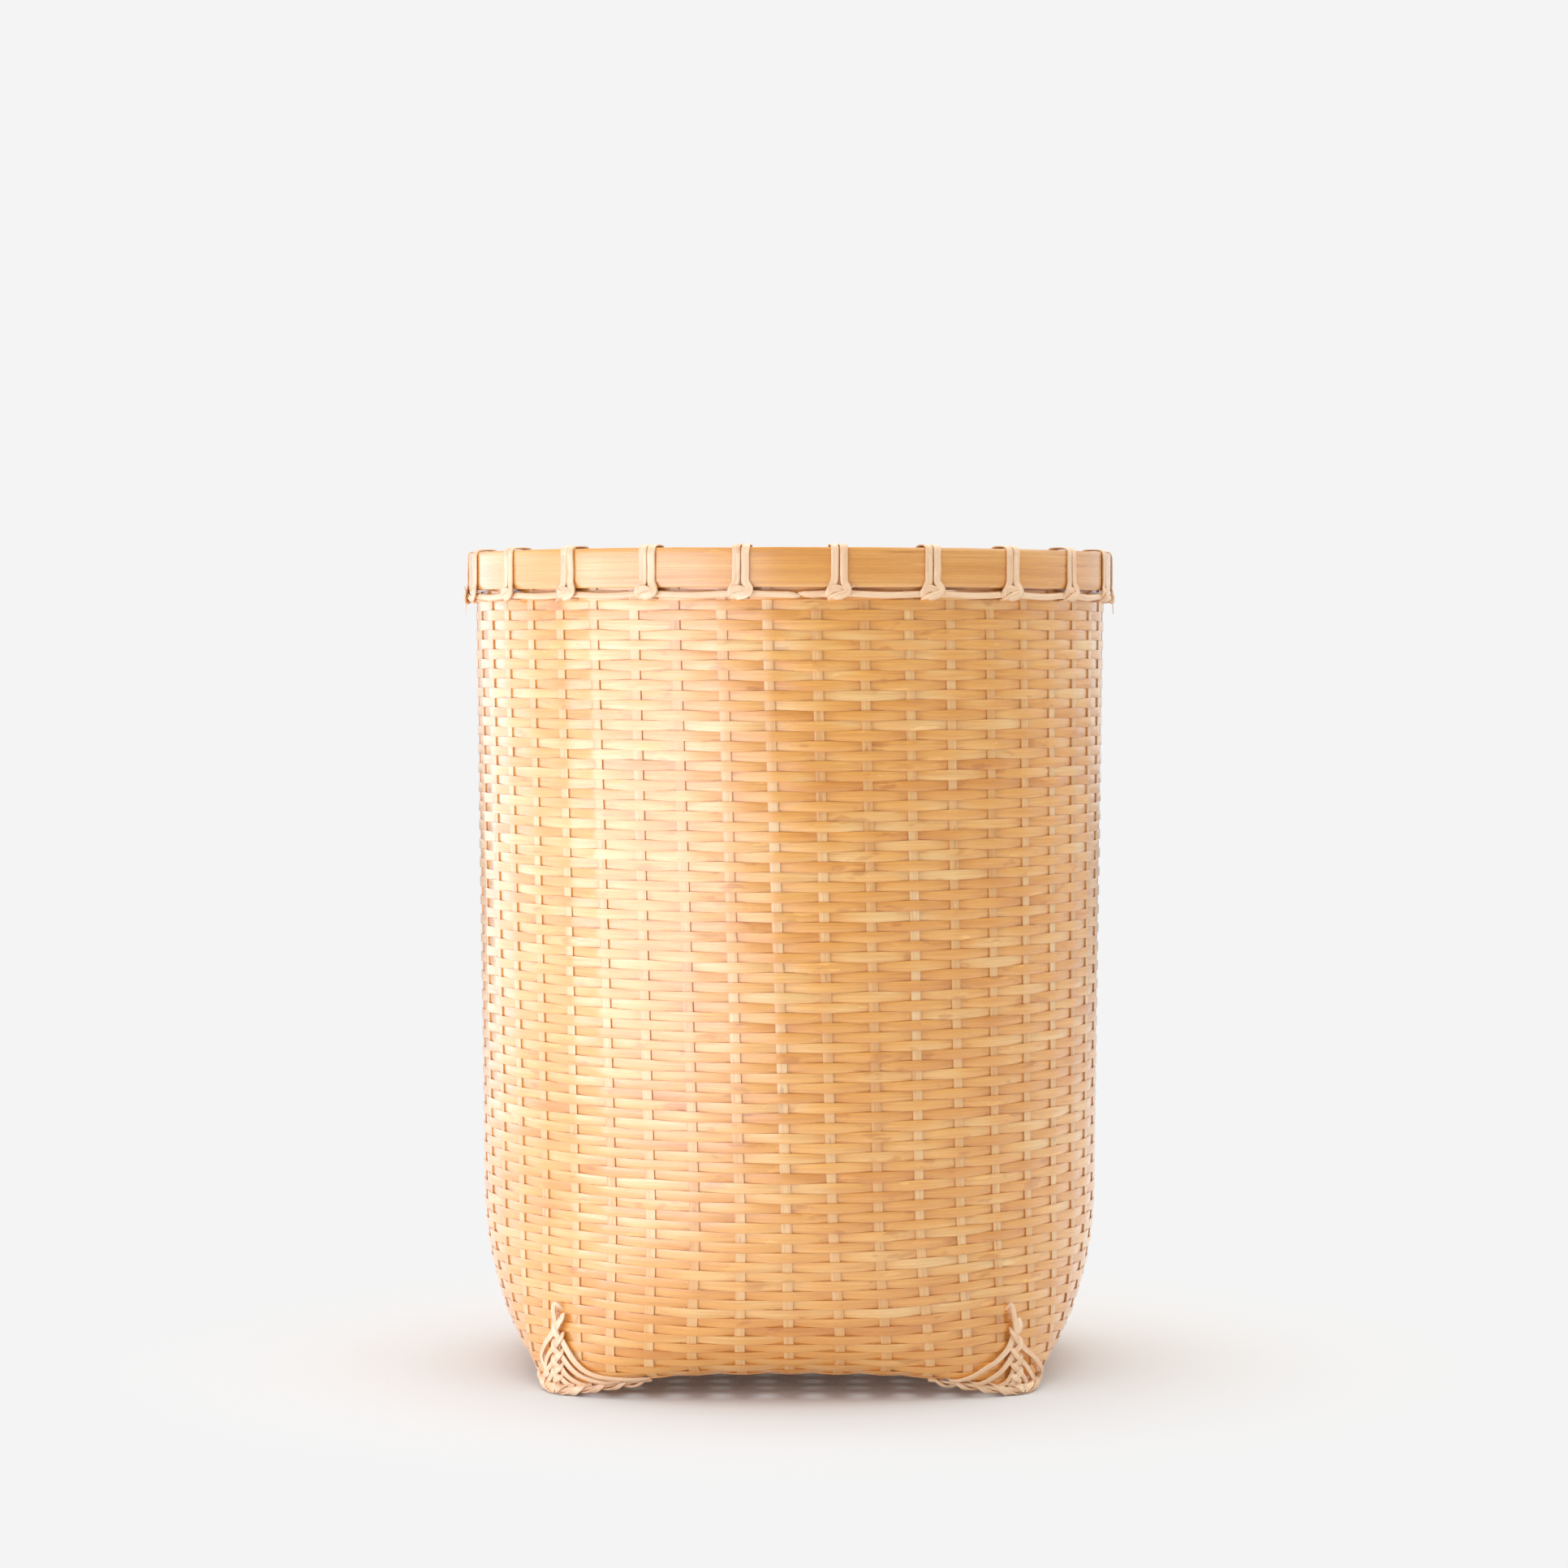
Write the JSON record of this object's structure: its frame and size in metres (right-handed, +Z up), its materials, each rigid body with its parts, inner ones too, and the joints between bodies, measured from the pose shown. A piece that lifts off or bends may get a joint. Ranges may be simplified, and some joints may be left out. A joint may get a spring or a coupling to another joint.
{
  "type": "waste basket",
  "caption": "Woven bamboo waste basket with a round lashed rim that squares off to a flat base on four low corner feet.",
  "frame": {"origin": "on the floor under the middle of the basket", "axes": "+Z up out of the mouth; the pictured front faces -Y; +X to its right"},
  "size_m": [0.2614, 0.2596, 0.3254],
  "materials": {
    "weave": "satin split bamboo, golden with paler and deeper strips",
    "stakes": "satin split bamboo, pale gold",
    "hoops": "smooth planed bamboo with fine grain along the band",
    "rattan": "smooth pale rattan peel"
  },
  "bodies": {
    "root": {"side_weave": "weave", "lengthwise_strip_01": "stakes", "lengthwise_strip_02": "stakes", "lengthwise_strip_03": "stakes", "lengthwise_strip_04": "stakes", "lengthwise_strip_05": "stakes", "lengthwise_strip_06": "stakes", "lengthwise_strip_07": "stakes", "lengthwise_strip_08": "stakes", "lengthwise_strip_09": "stakes", "lengthwise_strip_10": "stakes", "lengthwise_strip_11": "stakes", "crosswise_strip_01": "stakes", "crosswise_strip_02": "stakes", "crosswise_strip_03": "stakes", "crosswise_strip_04": "stakes", "crosswise_strip_05": "stakes", "crosswise_strip_06": "stakes", "crosswise_strip_07": "stakes", "crosswise_strip_08": "stakes", "crosswise_strip_09": "stakes", "crosswise_strip_10": "stakes", "crosswise_strip_11": "stakes", "rim_outer_hoop": "hoops", "rim_inner_hoop": "hoops", "rim_strand": "rattan", "rim_lashing_01": "rattan", "rim_lashing_02": "rattan", "rim_lashing_03": "rattan", "rim_lashing_04": "rattan", "rim_lashing_05": "rattan", "rim_lashing_06": "rattan", "rim_lashing_07": "rattan", "rim_lashing_08": "rattan", "rim_lashing_09": "rattan", "rim_lashing_10": "rattan", "rim_lashing_11": "rattan", "rim_lashing_12": "rattan", "rim_lashing_13": "rattan", "rim_lashing_14": "rattan", "rim_lashing_15": "rattan", "rim_lashing_16": "rattan", "rim_lashing_17": "rattan", "rim_lashing_18": "rattan", "rim_lashing_19": "rattan", "rim_lashing_20": "rattan", "rim_lashing_21": "rattan", "rim_lashing_22": "rattan", "foot_wrap_front_right": "rattan", "foot_wrap_back_right": "rattan", "foot_wrap_back_left": "rattan", "foot_wrap_front_left": "rattan"}
  },
  "joints": []
}
